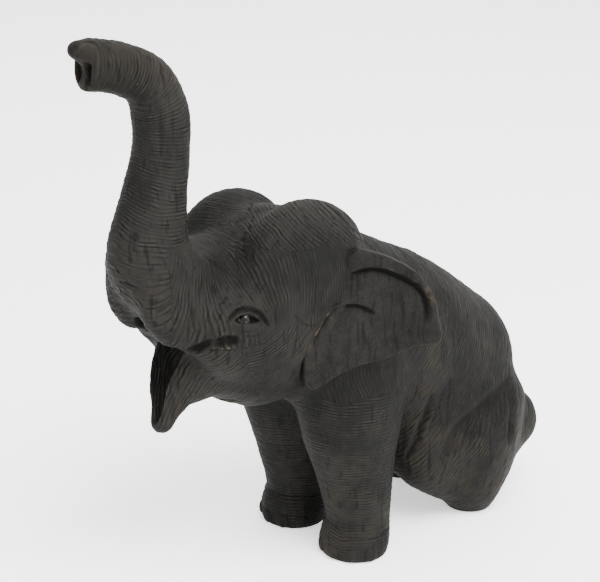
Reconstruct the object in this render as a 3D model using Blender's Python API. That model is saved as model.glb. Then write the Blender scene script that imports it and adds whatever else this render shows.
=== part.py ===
# A seated elephant with its trunk raised, carved from doweled blocks of stained wood.
# Metres, +Z up. The elephant faces -Y, its left side is +X, and it stands on Z = 0.
# The figure is shaped whole, as a carver shapes a glued-up blank. It is then cut into its blocks
# along flat glue faces, and each joint is drilled for its dowels.

import math

import bmesh
import bpy
from mathutils import Matrix, Vector

# Body
BODY_HALF_WIDTH = 0.045
BODY_HALF_DEPTH = 0.049
NAPE = (-0.014, 0.074)  # top end of the body's axis: Y, and height above the foreleg's glue face
RUMP = (0.073, 0.076)  # low end of the body's axis: Y, and height above the floor
BELLY_RADIUS = 0.042
# Forelegs
FORELEG_HEIGHT = 0.062  # sole to glue face
FORELEG_SPREAD = 0.0255  # middle plane to the leg's axis
FORELEG_RADIUS = 0.018
FOOT_RADIUS = 0.0195
SHOULDER_RADIUS = 0.028
# Hind legs
HIP_SPREAD = 0.030
THIGH_RADIUS = 0.0245
KNEE_Y = 0.078
HIND_FOOT_Y = 0.114
HIND_FOOT_RADIUS = 0.0190
# Head
HEAD_Y = -0.050
HEAD_RISE = 0.088  # middle of the skull above the foreleg's glue face
SKULL_RADIUS = 0.042
DOME_SPREAD = 0.0255
DOME_RADIUS = 0.0235
JAW_LENGTH = 0.054
MOUTH_WIDTH = 0.010  # half the width of the mouth at its top
# Trunk
TRUNK_RISE = 0.095  # glue face to the tip's axis
TRUNK_ROOT_RADIUS = 0.0195
TRUNK_TIP_RADIUS = 0.0122
TRUNK_HOOK = 0.039  # how far the tip reaches forwards
# Ears
EAR_HEIGHT = 0.072
EAR_LENGTH = 0.074
EAR_THICKNESS = 0.0056
EAR_FLARE = math.radians(22)
EAR_HOUSING = 0.004  # depth of the pocket that takes the ear's root
# Tail
TAIL_RADIUS = 0.0042
TAIL_LENGTH = 0.056
TAIL_TENON = 0.012
# Joints
GLUE_GAP = 0.0003
DOWEL_RADIUS = 0.004
DOWEL_LENGTH = 0.030
SMALL_DOWEL_RADIUS = 0.0025
SMALL_DOWEL_LENGTH = 0.018
DOWEL_CHAMFER = 0.0008
# Finish of the carving
CARVING_VOXEL = 0.0022
CARVING_SMOOTHING = 9
FIGURE_TRIANGLES = 4000

SIDES = {"left": 1, "right": -1}
BEYOND = 1.6  # longer than the figure, for cutters that must pass right through


# ---------- shapes ----------

def curve_through(stations, steps=4):
    """Catmull-Rom curve through rows of numbers, as a longer list of rows."""
    rows = [Vector(row) for row in stations]
    rows = [2 * rows[0] - rows[1], *rows, 2 * rows[-1] - rows[-2]]
    curve = []
    for a, b, c, d in zip(rows, rows[1:], rows[2:], rows[3:]):
        for step in range(steps):
            t = step / steps
            curve.append(
                0.5 * (2 * b + (c - a) * t + (2 * a - 5 * b + 4 * c - d) * t**2 + (3 * b - a - 3 * c + d) * t**3)
            )
    return [*curve, rows[-2]]


def loft(bm, stations, across=(1, 0, 0), around=20, end_rounding=1.0, steps=4):
    """Closed skin over stations (x, y, z, half width, half depth), with rounded ends."""
    rows = curve_through(stations, steps)
    points = [Vector(row[:3]) for row in rows]
    sizes = [(row[3], row[4]) for row in rows]
    tangents = []
    for i in range(len(points)):
        tangents.append((points[min(i + 1, len(points) - 1)] - points[max(i - 1, 0)]).normalized())
    sections = []
    for angle in (0.05, 0.35, 0.8):
        shrink, push = math.sin(angle * math.pi / 2), math.cos(angle * math.pi / 2)
        sections.append((0, shrink, -push))
    sections += [(i, 1, 0) for i in range(len(points))]
    last = len(points) - 1
    sections += [(last, shrink, -push) for _, shrink, push in reversed(sections[:3])]
    rings = []
    for index, shrink, push in sections:
        width, depth = sizes[index]
        tangent = tangents[index]
        side = (Vector(across) - tangent * tangent.dot(Vector(across))).normalized()
        out = tangent.cross(side)
        centre = points[index] + tangent * push * end_rounding * min(width, depth)
        ring = []
        for k in range(around):
            turn = 2 * math.pi * k / around
            offset = side * width * shrink * math.cos(turn) + out * depth * shrink * math.sin(turn)
            ring.append(bm.verts.new(centre + offset))
        rings.append(ring)
    for low, high in zip(rings, rings[1:]):
        for k in range(around):
            bm.faces.new((low[k], low[(k + 1) % around], high[(k + 1) % around], high[k]))
    bm.faces.new(list(reversed(rings[0])))
    bm.faces.new(rings[-1])


def ball(bm, centre, radii, tilt=0.0):
    """Ellipsoid, leant by tilt about the X axis."""
    turn = Matrix.Rotation(tilt, 4, "X")
    place = Matrix.Translation(centre) @ turn @ Matrix.Diagonal((*radii, 1))
    bmesh.ops.create_uvsphere(bm, u_segments=28, v_segments=18, radius=1, matrix=place)


def new_object(name, bm):
    bmesh.ops.recalc_face_normals(bm, faces=bm.faces[:])
    mesh = bpy.data.meshes.new(name)
    bm.to_mesh(mesh)
    bm.free()
    piece = bpy.data.objects.new(name, mesh)
    bpy.context.scene.collection.objects.link(piece)
    return piece


def apply_modifiers(piece):
    bpy.context.view_layer.update()
    graph = bpy.context.evaluated_depsgraph_get()
    mesh = bpy.data.meshes.new_from_object(piece.evaluated_get(graph))
    piece.modifiers.clear()
    old = piece.data
    piece.data = mesh
    bpy.data.meshes.remove(old)


def discard(piece):
    mesh = piece.data
    bpy.data.objects.remove(piece)
    bpy.data.meshes.remove(mesh)


def boolean(piece, tool, operation):
    modifier = piece.modifiers.new("cut", "BOOLEAN")
    modifier.operation = operation
    modifier.object = tool
    modifier.solver = "EXACT"
    apply_modifiers(piece)
    discard(tool)


def copy_of(piece, name):
    copied = bpy.data.objects.new(name, piece.data.copy())
    bpy.context.scene.collection.objects.link(copied)
    return copied


def region(planes, grown=0.0):
    """Convex block left of a big cube by planes (point, outward normal), each moved out by grown."""
    bm = bmesh.new()
    bmesh.ops.create_cube(bm, size=BEYOND)
    for point, normal in planes:
        normal = Vector(normal).normalized()
        everything = bm.verts[:] + bm.edges[:] + bm.faces[:]
        cut = bmesh.ops.bisect_plane(
            bm, geom=everything, dist=1e-7, plane_co=Vector(point) + normal * grown, plane_no=normal, clear_outer=True
        )
        rim = [part for part in cut["geom_cut"] if isinstance(part, bmesh.types.BMEdge)]
        bmesh.ops.edgeloop_fill(bm, edges=rim)
    return new_object("region", bm)


def rod(name, centre, axis, radius, length, chamfer=0.0):
    """Round rod, centred on a point along an axis, with chamfered ends."""
    bm = bmesh.new()
    half = length / 2
    rings = [(-half, radius - chamfer), (-half + chamfer, radius), (half - chamfer, radius), (half, radius - chamfer)]
    if chamfer == 0:
        rings = [(-half, radius), (half, radius)]
    around = 12
    made = []
    for height, size in rings:
        turns = [2 * math.pi * k / around for k in range(around)]
        made.append([bm.verts.new((size * math.cos(t), size * math.sin(t), height)) for t in turns])
    for low, high in zip(made, made[1:]):
        for k in range(around):
            bm.faces.new((low[k], low[(k + 1) % around], high[(k + 1) % around], high[k]))
    bm.faces.new(list(reversed(made[0])))
    bm.faces.new(made[-1])
    turn = Vector(axis).to_track_quat("Z", "Y").to_matrix().to_4x4()
    bmesh.ops.transform(bm, matrix=Matrix.Translation(centre) @ turn, verts=bm.verts[:])
    return new_object(name, bm)


# ---------- the figure's forms ----------

HEAD = Vector((0, HEAD_Y, FORELEG_HEIGHT + HEAD_RISE))
TRUNK_ROOT = HEAD + Vector((0, -0.066, 0.038))  # middle of the trunk's glue face
JAW_ROOT = HEAD + Vector((0, -0.010, -0.028))
NECK = Vector((0, NAPE[0], FORELEG_HEIGHT + NAPE[1]))
BELLY_Y = RUMP[0] - 0.010


def shape_body(bm):
    front = (NAPE[0], FORELEG_HEIGHT + NAPE[1])
    middle = [(front[k] + RUMP[k]) / 2 for k in (0, 1)]
    fullness = 0.008  # the back is a little arched between nape and rump
    width, depth = BODY_HALF_WIDTH, BODY_HALF_DEPTH
    loft(bm, [
        (0, front[0], front[1], width - 0.003, depth - 0.007),
        (0, middle[0] + fullness * 0.6, middle[1] + fullness * 0.8, width, depth),
        (0, RUMP[0], RUMP[1], width, depth),
    ], around=28)
    ball(bm, (0, BELLY_Y, RUMP[1] - 0.014), (BELLY_RADIUS, BELLY_RADIUS + 0.003, BELLY_RADIUS + 0.002))
    for side in SIDES.values():
        ball(bm, (side * 0.024, -0.008, FORELEG_HEIGHT + 0.030), (0.025, SHOULDER_RADIUS + 0.002, 0.046))
        ball(bm, (side * 0.027, BELLY_Y - 0.009, 0.043), (0.017, 0.027, 0.024))


def shape_foreleg(bm, side):
    seat, wide, foot = FORELEG_HEIGHT, FORELEG_RADIUS, FOOT_RADIUS
    x = side * FORELEG_SPREAD
    loft(bm, [
        (x, -0.012, seat + 0.030, wide + 0.007, SHOULDER_RADIUS + 0.003),
        (x, -0.007, seat, wide + 0.0035, wide + 0.008),
        (x, -0.003, seat * 0.6, wide + 0.0005, wide + 0.002),
        (x, -0.001, seat * 0.3, wide - 0.001, wide),
        (x, -0.002, 0.006, foot, foot + 0.0005),
        (x, -0.002, -0.012, foot, foot + 0.0005),
    ], around=24)


def shape_hind_leg(bm, side):
    x = side * HIP_SPREAD
    loft(bm, [
        (x - side * 0.002, KNEE_Y + 0.003, 0.060, THIGH_RADIUS, THIGH_RADIUS + 0.012),
        (x + side * 0.001, KNEE_Y + 0.003, 0.040, THIGH_RADIUS - 0.002, THIGH_RADIUS + 0.004),
        (x, KNEE_Y + 0.001, 0.022, THIGH_RADIUS - 0.005, THIGH_RADIUS - 0.003),
        (x - side * 0.002, KNEE_Y, 0.007, THIGH_RADIUS - 0.009, THIGH_RADIUS - 0.007),
    ], around=24)
    foot = HIND_FOOT_RADIUS
    loft(bm, [
        (x, KNEE_Y + 0.004, 0.015, foot - 0.004, foot - 0.004),
        (x - side * 0.002, HIND_FOOT_Y - 0.019, 0.026, foot - 0.002, foot - 0.002),
        (x - side * 0.005, HIND_FOOT_Y - 0.008, 0.034, foot - 0.001, foot),
        (x - side * 0.006, HIND_FOOT_Y, 0.040, foot, foot + 0.001),
    ], around=24)


def shape_head(bm):
    ball(bm, HEAD, (SKULL_RADIUS - 0.001, SKULL_RADIUS + 0.003, SKULL_RADIUS))
    loft(bm, [
        (0, NECK.y + 0.012, NECK.z - 0.004, 0.040, 0.040),
        (0, NECK.y - 0.008, NECK.z, 0.042, 0.044),
        (0, HEAD.y + 0.006, HEAD.z - 0.012, 0.040, 0.043),
    ], around=24)
    for side in SIDES.values():
        ball(bm, HEAD + Vector((side * DOME_SPREAD, 0.013, 0.0170)), (DOME_RADIUS, DOME_RADIUS + 0.015, DOME_RADIUS + 0.009))
        ball(bm, HEAD + Vector((side * 0.025, -0.024, -0.004)), (0.0195, 0.033, 0.025))
        loft(bm, [
            (side * 0.012, HEAD.y - 0.0575, HEAD.z + 0.030, 0.012, 0.022),
            (side * 0.014, HEAD.y - 0.0585, HEAD.z + 0.015, 0.011, 0.022),
            (side * 0.017, HEAD.y - 0.055, HEAD.z + 0.002, 0.010, 0.016),
            (side * 0.018, HEAD.y - 0.056, HEAD.z - 0.004, 0.007, 0.009),
        ], around=16, end_rounding=0.8)


def shape_trunk(bm):
    """One skin from inside the face, up through the glue face, to the hooked tip."""
    root, tip, rise, hook = TRUNK_ROOT_RADIUS, TRUNK_TIP_RADIUS, TRUNK_RISE, TRUNK_HOOK
    girth = lambda share: root + (tip - root) * share
    y, z = TRUNK_ROOT.y, TRUNK_ROOT.z
    loft(bm, [
        (0, y + 0.034, z - 0.028, root + 0.007, root + 0.010),
        (0, y + 0.010, z - 0.017, root + 0.003, root + 0.003),
        (0, y, z - 0.001, girth(0), girth(0) + 0.0015),
        (0, y + 0.004, z + 0.27 * rise, girth(0.62), girth(0.62) + 0.0015),
        (0, y + 0.009, z + 0.50 * rise, girth(0.90), girth(0.90) + 0.001),
        (0, y + 0.0085, z + 0.70 * rise, girth(1), girth(1) + 0.001),
        (0, y - 0.0005, z + 0.86 * rise, girth(1) - 0.0006, girth(1) + 0.001),
        (0, y + 0.009 - hook * 0.65, z + 0.955 * rise, girth(1) - 0.0018, girth(1) + 0.0005),
        (0, y + 0.009 - hook, z + rise, girth(1) - 0.003, girth(1) - 0.0005),
    ], around=20, end_rounding=0.45)
    ball(bm, (0, y + 0.0085 - hook, z + rise + 0.0085), (0.0072, 0.0080, 0.0036), math.radians(-8))


def shape_jaw(bm):
    y, z, length = JAW_ROOT.y, JAW_ROOT.z, JAW_LENGTH
    loft(bm, [
        (0, y - 0.002, z, 0.036, 0.026),
        (0, y - 0.022, z + 0.002, 0.028, 0.021),
        (0, y - length * 0.74, z - 0.005, 0.0145, 0.020),
        (0, y - length * 0.88, z - 0.016, 0.0085, 0.008),
        (0, y - length * 0.95, z - 0.025, 0.006, 0.0055),
    ], around=24)


def mouth_cutter():
    """Narrow slot, open forwards, that runs down into the jaw like the inside of a spout."""
    bm = bmesh.new()
    y, z, length = JAW_ROOT.y, JAW_ROOT.z, JAW_LENGTH
    loft(bm, [
        (0, y - length * 0.70, z + 0.022, MOUTH_WIDTH, 0.018),
        (0, y - length * 0.70, z + 0.014, MOUTH_WIDTH, 0.017),
        (0, y - length * 0.75, z, MOUTH_WIDTH - 0.0035, 0.014),
        (0, y - length * 0.84, z - 0.011, MOUTH_WIDTH - 0.0060, 0.010),
        (0, y - length * 0.92, z - 0.020, MOUTH_WIDTH - 0.0080, 0.006),
    ], around=14, steps=2)
    return new_object("mouth", bm)


def ear_outline():
    """The flap's edge as a closed curve: along its length and up, from the root."""
    shares = [
        (0.19, 0.46), (0.40, 0.38), (0.60, 0.25), (0.72, 0.08), (0.77, -0.08), (0.80, -0.29), (0.61, -0.32),
        (0.40, -0.39), (0.16, -0.43), (-0.03, -0.51), (-0.14, -0.54), (-0.20, -0.42), (-0.19, -0.25),
        (-0.13, -0.11), (-0.08, 0.06), (-0.05, 0.22), (0.03, 0.36),
    ]
    around = shares[-2:] + shares + shares[:1]
    smooth = curve_through(around, steps=2)[3:-2]
    return [Vector((a * EAR_LENGTH, b * EAR_HEIGHT)) for a, b in smooth]


EAR_CENTRE = HEAD + Vector((0.043, 0.012, 0.000))
EAR_SEAT_X = EAR_CENTRE.x - EAR_HOUSING
EAR_RIM = 0.0018  # how far the rolled upper edge stands out


def ear_solid(name, side, grown=0.0):
    """Cupped flap with a rolled upper edge, cut flat where it enters its housing."""
    bm = bmesh.new()
    outline = ear_outline()
    centre = sum(outline, Vector((0, 0))) / len(outline)
    along = Vector((math.sin(EAR_FLARE), math.cos(EAR_FLARE), 0))
    out = Vector((math.cos(EAR_FLARE), -math.sin(EAR_FLARE), 0))
    half = EAR_THICKNESS / 2 + grown

    def vertex(a, b, level):
        cup = 2.2 * (a - 0.020) ** 2 + b**2 - 0.0022
        place = EAR_CENTRE + along * a + out * (level + cup) + Vector((0, 0, b))
        return bm.verts.new((side * place.x, place.y, place.z))

    rings = []
    count = len(outline)
    for inset, level in ((0.5, 1), (0.84, 1), (0.94, 1), (1, 0.35), (1, -0.35), (0.94, -1), (0.5, -1)):
        ring = []
        for k, edge in enumerate(outline):
            tangent = outline[(k + 1) % count] - outline[k - 1]
            outward = Vector((-tangent.y, tangent.x)).normalized()
            flat = centre + (edge - centre) * inset + outward * (grown if inset == 1 else 0)
            rolled = min(max((edge.y + 0.35 * edge.x) / 0.012, 0), 1) if inset == 0.94 and level == 1 else 0
            ring.append(vertex(flat.x, flat.y, level * half + EAR_RIM * rolled))
        rings.append(ring)
    for low, high in zip(rings, rings[1:]):
        for k in range(count):
            after = (k + 1) % count
            bm.faces.new((low[k], low[after], high[after]))
            bm.faces.new((low[k], high[after], high[k]))
    for ring, level in ((rings[0], 1), (rings[-1], -1)):
        middle = vertex(centre.x, centre.y, level * half)
        for k in range(count):
            bm.faces.new((ring[k], ring[(k + 1) % count], middle))
    ear = new_object(name, bm)
    seat = side * (EAR_SEAT_X - grown)
    boolean(ear, region([((seat, 0, 0), (-side, 0, 0))]), "INTERSECT")
    return ear


def tail_solid(name, grown=0.0):
    y, z = TAIL_SEAT.y, TAIL_SEAT.z
    thick = TAIL_RADIUS + grown
    bm = bmesh.new()
    loft(bm, [
        (0, y - TAIL_TENON - grown, z + 0.002, thick - 0.0012, thick - 0.0012),
        (0, y, z, thick, thick),
        (0, y + 0.007, z - TAIL_LENGTH * 0.14, thick, thick),
        (0, y + 0.0095, z - TAIL_LENGTH * 0.42, thick - 0.0008, thick - 0.0008),
        (0, y + 0.009, z - TAIL_LENGTH * 0.70, thick - 0.0002, thick - 0.0002),
        (0, y + 0.007, z - TAIL_LENGTH * 0.92, thick - 0.0020, thick - 0.0020),
    ], around=10, steps=2)
    return new_object(name, bm)


# ---------- where the blocks meet ----------

TRUNK_AXIS = Vector((0, -0.37, 0.93)).normalized()
NECK_SEAT = HEAD + Vector((0, 0.026, -0.013))
NECK_AXIS = Vector((0, 0.87, -0.494)).normalized()  # from the head into the body
JAW_SEAT = JAW_ROOT + Vector((0, -0.004, -0.010))
LIP_LINE = (JAW_ROOT + Vector((0, -0.050, 0.0175)), Vector((0, -0.16, 0.987)))  # under the tusk sheaths
FORELEG_BACK_Y = BELLY_Y - BELLY_RADIUS - 0.005  # just clear of the belly
FORELEG_FOOT_BACK_Y = BELLY_Y - 0.037  # just clear of the flank, at floor level
HAUNCH_SEAT_X = 0.020
HAUNCH_FRONT_Y = 0.046
HAUNCH_TOP_Z = 0.088
HIND_FOOT_SEAT_Y = 0.106
HIND_FOOT_TOP_Z = 0.064
TAIL_SEAT = Vector((0, RUMP[0] + 0.044, RUMP[1] + 0.016))


def trunk_block(grown=0.0):
    return region([(TRUNK_ROOT, -TRUNK_AXIS)], grown)


def jaw_block(grown=0.0):
    return region([(JAW_SEAT, (0, 1, 0)), LIP_LINE], grown)


def head_block(grown=0.0):
    return region([(NECK_SEAT, NECK_AXIS)], grown)


def foreleg_block(side, grown=0.0):
    top = ((0, 0, FORELEG_HEIGHT), (0, 0, 1))
    lean = FORELEG_FOOT_BACK_Y - FORELEG_BACK_Y
    back = ((0, FORELEG_BACK_Y, FORELEG_HEIGHT), (0, FORELEG_HEIGHT, lean))
    middle = ((side * GLUE_GAP / 2, 0, 0), (-side, 0, 0))
    return region([top, back, middle], grown)


def hind_leg_block(side, grown=0.0):
    """Two overlapping boxes: the haunch beside the body, and the foot behind it."""
    top = ((0, 0, HAUNCH_TOP_Z), (0, 0, 1))
    haunch = region([top, ((side * HAUNCH_SEAT_X, 0, 0), (-side, 0, 0)), ((0, HAUNCH_FRONT_Y, 0), (0, -1, 0))], grown)
    low = ((0, 0, HIND_FOOT_TOP_Z), (0, 0, 1))
    foot = region([low, ((side * GLUE_GAP / 2, 0, 0), (-side, 0, 0)), ((0, HIND_FOOT_SEAT_Y, 0), (0, -1, 0))], grown)
    boolean(haunch, foot, "UNION")
    return haunch


def dowels():
    """Name, centre on the glue face, axis, radius, length, and the two pieces that it joins."""
    big, small = (DOWEL_RADIUS, DOWEL_LENGTH), (SMALL_DOWEL_RADIUS, SMALL_DOWEL_LENGTH)
    rows = [("trunk_dowel", TRUNK_ROOT, TRUNK_AXIS, *big, ("trunk", "head"))]
    for word, side in SIDES.items():
        shift = Vector((side * 0.018, 0, 0))
        rows.append((f"neck_dowel_{word}", NECK_SEAT + shift, NECK_AXIS, *big, ("head", "torso")))
        shift = Vector((side * 0.014, 0, 0))
        rows.append((f"jaw_dowel_{word}", JAW_SEAT + shift, Vector((0, 1, 0)), *small, ("head", "lower_jaw")))
        knee = Vector((side * FORELEG_SPREAD, -0.004, FORELEG_HEIGHT))
        rows.append((f"foreleg_dowel_{word}", knee, Vector((0, 0, 1)), *big, ("torso", f"foreleg_{word}")))
        hip = Vector((side * HAUNCH_SEAT_X, KNEE_Y, 0.052))
        rows.append((f"hind_leg_dowel_{word}", hip, Vector((1, 0, 0)), *big, ("torso", f"hind_leg_{word}")))
    return rows


# ---------- the pieces ----------

def carved_figure():
    """The whole figure but for its ears and tail, as one closed skin of few triangles."""
    bm = bmesh.new()
    shape_body(bm)
    shape_head(bm)
    shape_trunk(bm)
    shape_jaw(bm)
    for side in SIDES.values():
        shape_foreleg(bm, side)
        shape_hind_leg(bm, side)
    figure = new_object("figure", bm)
    remesh = figure.modifiers.new("blend", "REMESH")
    remesh.mode = "VOXEL"
    remesh.voxel_size = CARVING_VOXEL
    smooth = figure.modifiers.new("smooth", "SMOOTH")
    smooth.iterations = CARVING_SMOOTHING
    apply_modifiers(figure)
    thin = figure.modifiers.new("thin", "DECIMATE")
    thin.ratio = FIGURE_TRIANGLES / sum(len(face.vertices) - 2 for face in figure.data.polygons)
    apply_modifiers(figure)
    boolean(figure, mouth_cutter(), "DIFFERENCE")
    boolean(figure, region([((0, 0, 0), (0, 0, -1))]), "INTERSECT")
    return figure


def carve():
    figure = carved_figure()
    pieces = {}

    def cut_out(name, block, *removed):
        piece = copy_of(figure, name)
        boolean(piece, block, "INTERSECT")
        for tool in removed:
            boolean(piece, tool, "DIFFERENCE")
        pieces[name] = piece

    gap = GLUE_GAP
    cut_out("trunk", trunk_block())
    cut_out("lower_jaw", jaw_block())
    pockets = [ear_solid("pocket", side, gap) for side in SIDES.values()]
    cut_out("head", head_block(), trunk_block(gap), jaw_block(gap), *pockets)
    for word, side in SIDES.items():
        cut_out(f"foreleg_{word}", foreleg_block(side))
        cut_out(f"hind_leg_{word}", hind_leg_block(side))
        pieces[f"ear_{word}"] = ear_solid(f"ear_{word}", side)
    torso = copy_of(figure, "torso")
    tools = [head_block(gap), tail_solid("socket", gap)]
    for side in SIDES.values():
        tools += [foreleg_block(side, gap), hind_leg_block(side, gap)]
        tools.append(ear_solid("relief", side, gap))  # room behind the ear if the shoulder reaches it
    for tool in tools:
        boolean(torso, tool, "DIFFERENCE")
    pieces["torso"] = torso
    pieces["tail"] = tail_solid("tail")
    for name, centre, axis, radius, length, joined in dowels():
        for owner in joined:
            hole = rod("hole", centre, axis, radius + GLUE_GAP, length + 2 * GLUE_GAP)
            boolean(pieces[owner], hole, "DIFFERENCE")
        pieces[name] = rod(name, centre, axis, radius, length, DOWEL_CHAMFER)
    discard(figure)
    return pieces


def stand_on_origin(pieces):
    """Moves every mesh so that the middle of the whole figure's footprint is at the origin."""
    corners = [vertex.co for piece in pieces.values() for vertex in piece.data.vertices]
    low = Vector(min(c[k] for c in corners) for k in range(3))
    high = Vector(max(c[k] for c in corners) for k in range(3))
    shift = Vector((-(low.x + high.x) / 2, -(low.y + high.y) / 2, -low.z))
    for piece in pieces.values():
        piece.data.transform(Matrix.Translation(shift))


def wood(name, colour, roughness):
    material = bpy.data.materials.new(name)
    material.use_nodes = True
    shader = material.node_tree.nodes["Principled BSDF"]
    shader.inputs["Base Color"].default_value = (*colour, 1)
    shader.inputs["Roughness"].default_value = roughness
    shader.inputs["Metallic"].default_value = 0
    return material


def finish(pieces):
    for name, piece in pieces.items():
        if "dowel" in name:
            colour, roughness = (0.42, 0.27, 0.14), 0.7
        elif "ear" in name:
            colour, roughness = (0.085, 0.072, 0.062), 0.6
        else:
            colour, roughness = (0.075, 0.064, 0.056), 0.62
        piece.data.materials.clear()
        piece.data.materials.append(wood(name, colour, roughness))
        piece.data.shade_smooth()
        piece.data.set_sharp_from_angle(angle=math.radians(40))


def main():
    for old in list(bpy.data.objects):
        bpy.data.objects.remove(old)
    pieces = carve()
    stand_on_origin(pieces)
    finish(pieces)


main()
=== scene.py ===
import math
import bmesh
import bpy
import numpy as np
import openvdb
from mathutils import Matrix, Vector


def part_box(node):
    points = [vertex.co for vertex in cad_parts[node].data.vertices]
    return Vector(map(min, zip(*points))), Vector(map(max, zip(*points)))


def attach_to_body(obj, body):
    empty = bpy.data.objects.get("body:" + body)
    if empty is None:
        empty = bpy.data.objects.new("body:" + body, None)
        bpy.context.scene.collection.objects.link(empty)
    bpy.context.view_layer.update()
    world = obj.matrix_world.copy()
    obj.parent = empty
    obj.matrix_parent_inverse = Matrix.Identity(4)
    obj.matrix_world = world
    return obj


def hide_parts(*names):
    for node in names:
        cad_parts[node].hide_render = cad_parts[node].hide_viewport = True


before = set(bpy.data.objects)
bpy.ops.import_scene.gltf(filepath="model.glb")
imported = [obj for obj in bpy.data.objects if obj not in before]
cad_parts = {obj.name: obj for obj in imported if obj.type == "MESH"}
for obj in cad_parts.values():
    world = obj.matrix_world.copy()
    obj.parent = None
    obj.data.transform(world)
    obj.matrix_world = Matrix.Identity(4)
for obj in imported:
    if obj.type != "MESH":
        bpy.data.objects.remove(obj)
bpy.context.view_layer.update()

# The figure is modelled as clay in millimetres: a distance field is filled in on a fine grid and
# skinned, the grooves are cut into the skin, and the skin is sawn into the same blocks as the CAD.
# Clay coordinates differ from the frame by one shift in Y, read from the dowel in the trunk joint.
dowelLow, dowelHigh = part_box("trunk_dowel")
clayToFrame = Vector((0, (dowelLow.y + dowelHigh.y) / 2 + 0.116, (dowelLow.z + dowelHigh.z) / 2 - 0.188))

carving = {
    "voxel": 0.72,  # mm between the skin's points
    "skinBand": 2.2,  # mm of field kept on each side of the skin
    "groovePitch": 1.75,  # mm between neighbouring grooves
    "grooveDepth": 0.26,  # mm, for the half of the grooves that are cut into the mesh
    "seed": 11,
    "mostTriangles": 185000,  # in one block
    "low": (-74, -162, -4),  # corners of the clay's box, ears and tail apart
    "high": (74, 142, 302),
}


# Distance fields take points as rows of x, y, z, and are negative inside.

def ellipsoid(points, centre, radii, lean=0.0):
    turn = math.radians(lean)
    q = points - np.array(centre, np.float32)
    if lean:
        c, s = math.cos(turn), math.sin(turn)
        q = np.stack([q[:, 0], c * q[:, 1] + s * q[:, 2], c * q[:, 2] - s * q[:, 1]], axis=1)
    r = np.array(radii, np.float32)
    near = np.linalg.norm(q / r, axis=1)
    return near * (near - 1) / (np.linalg.norm(q / (r * r), axis=1) + 1e-9)


def curveThrough(rows, steps):
    rows = np.array(rows, float)
    rows = np.vstack([2 * rows[0] - rows[1], rows, 2 * rows[-1] - rows[-2]])
    curve = []
    for a, b, c, d in zip(rows, rows[1:], rows[2:], rows[3:]):
        for t in np.arange(steps) / steps:
            curve.append(
                0.5
                * (2 * b + (c - a) * t + (2 * a - 5 * b + 4 * c - d) * t**2 + (3 * b - a - 3 * c + d) * t**3)
            )
    return np.array([*curve, rows[-2]])


def limb(points, stations, across=(1, 0, 0), steps=5, endRound=1.0):
    rows = curveThrough(stations, steps)  # x, y, z, half width, half depth
    nearest = np.full(len(points), 1e9, np.float32)
    for low, high in zip(rows, rows[1:]):
        span = high[:3] - low[:3]
        length = np.linalg.norm(span)
        axis = span / length
        side = np.array(across) - axis * (np.array(across) @ axis)
        side /= np.linalg.norm(side)
        out = np.cross(axis, side)
        q = points - low[:3].astype(np.float32)
        share = np.clip((q @ axis.astype(np.float32)) / length, 0, 1)
        q = q - share[:, None] * span.astype(np.float32)
        width = low[3] + (high[3] - low[3]) * share
        depth = low[4] + (high[4] - low[4]) * share
        end = np.minimum(width, depth) * endRound
        x, y, z = (q @ v.astype(np.float32) for v in (side, out, axis))
        near = np.sqrt((x / width) ** 2 + (y / depth) ** 2 + (z / end) ** 2)
        slope = np.sqrt((x / width**2) ** 2 + (y / depth**2) ** 2 + (z / end**2) ** 2) + 1e-9
        nearest = np.minimum(nearest, near * (near - 1) / slope)
    return nearest


def joinClay(a, b, blend):
    h = np.maximum(blend - np.abs(a - b), 0)
    return np.minimum(a, b) - h * h / (4 * blend)


def cutClay(a, b, blend):
    return -joinClay(-a, b, blend)


def toCurve(points, corners):
    # distance to a run of straight pieces, and the length along it of the nearest place
    nearest = np.full(len(points), 1e9, np.float32)
    along = np.zeros(len(points), np.float32)
    run = 0.0
    for low, high in zip(corners, corners[1:]):
        span = high - low
        length = np.linalg.norm(span) + 1e-9
        q = points - low.astype(np.float32)
        share = np.clip((q @ (span / length).astype(np.float32)) / length, 0, 1)
        far = np.linalg.norm(q - share[:, None] * span.astype(np.float32), axis=1)
        closer = far < nearest
        nearest = np.where(closer, far, nearest)
        along = np.where(closer, run + share * length, along)
        run += length
    return nearest, along


def toOutline(x, y, outline):
    # signed distance to a closed outline in a plane
    far = np.full(len(x), 1e18)
    sign = np.ones(len(x))
    for here, before in zip(outline, np.roll(outline, 1, axis=0)):
        edge = before - here
        wx, wy = x - here[0], y - here[1]
        t = np.clip((wx * edge[0] + wy * edge[1]) / (edge @ edge), 0, 1)
        far = np.minimum(far, (wx - edge[0] * t) ** 2 + (wy - edge[1] * t) ** 2)
        above, under, left = y >= here[1], y < before[1], edge[0] * wy > edge[1] * wx
        sign = np.where((above & under & left) | (~above & ~under & ~left), -sign, sign)
    return sign * np.sqrt(far)


def ramp(value, low, high):
    t = np.clip((value - low) / (high - low), 0, 1)
    return t * t * (3 - 2 * t)


def drift(points, size, seed):
    # smooth noise in -1 to 1, whose lumps are about size mm across
    lattice = np.random.default_rng(seed).uniform(-1, 1, (32, 32, 32)).astype(np.float32)
    q = points / size + 100
    cell = np.floor(q).astype(int)
    t = q - cell
    t = t * t * (3 - 2 * t)
    total = np.zeros(len(points), np.float32)
    for corner in range(8):
        step = [(corner >> k) & 1 for k in range(3)]
        weight = np.prod([t[:, k] if step[k] else 1 - t[:, k] for k in range(3)], axis=0)
        i, j, k = (np.mod(cell[:, n] + step[n], 32) for n in range(3))
        total += weight * lattice[i, j, k]
    return total


clayGroups = (
    "body", "shoulder", "foreleg", "haunch", "hindFoot", "neck", "skull", "dome", "cheek", "trunk",
    "sheath", "jaw",
)


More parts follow.
